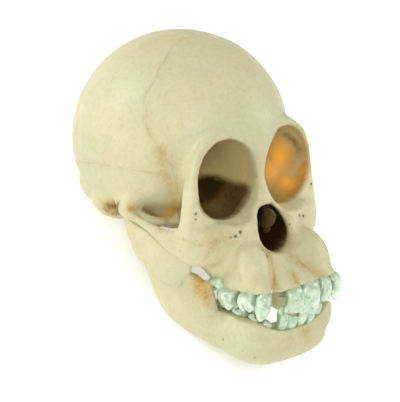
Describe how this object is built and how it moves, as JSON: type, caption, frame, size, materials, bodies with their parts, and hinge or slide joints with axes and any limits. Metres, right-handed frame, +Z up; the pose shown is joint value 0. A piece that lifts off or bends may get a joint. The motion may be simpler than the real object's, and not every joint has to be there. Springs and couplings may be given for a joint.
{
  "type": "orangutan skull",
  "caption": "Life-size museum model of a young great ape skull, jaws closed, lying on its nape and jaw angles, with large round orbits, milk teeth and cheek arches",
  "frame": {"origin": "On the floor, under the middle of the skull's bounding box", "axes": "+X to the skull's left, +Y to its back, +Z up; the face looks along -Y and up, as the skull rests"},
  "size_m": [0.0972, 0.168, 0.106],
  "materials": {
    "braincase": "satin dry bone, cream with grey-green shade and faint brown seams",
    "cheekbone_right": "satin dry bone, cream",
    "cheekbone_left": "satin dry bone, cream",
    "upper_jaw": "satin dry bone, cream with brown stains; enamel teeth pale green and glossier",
    "lower_jaw": "satin dry bone, cream; enamel teeth pale green and glossier"
  },
  "bodies": {
    "root": {"braincase": "braincase", "cheekbone_right": "cheekbone_right", "cheekbone_left": "cheekbone_left", "upper_jaw": "upper_jaw", "lower_jaw": "lower_jaw"}
  },
  "joints": []
}
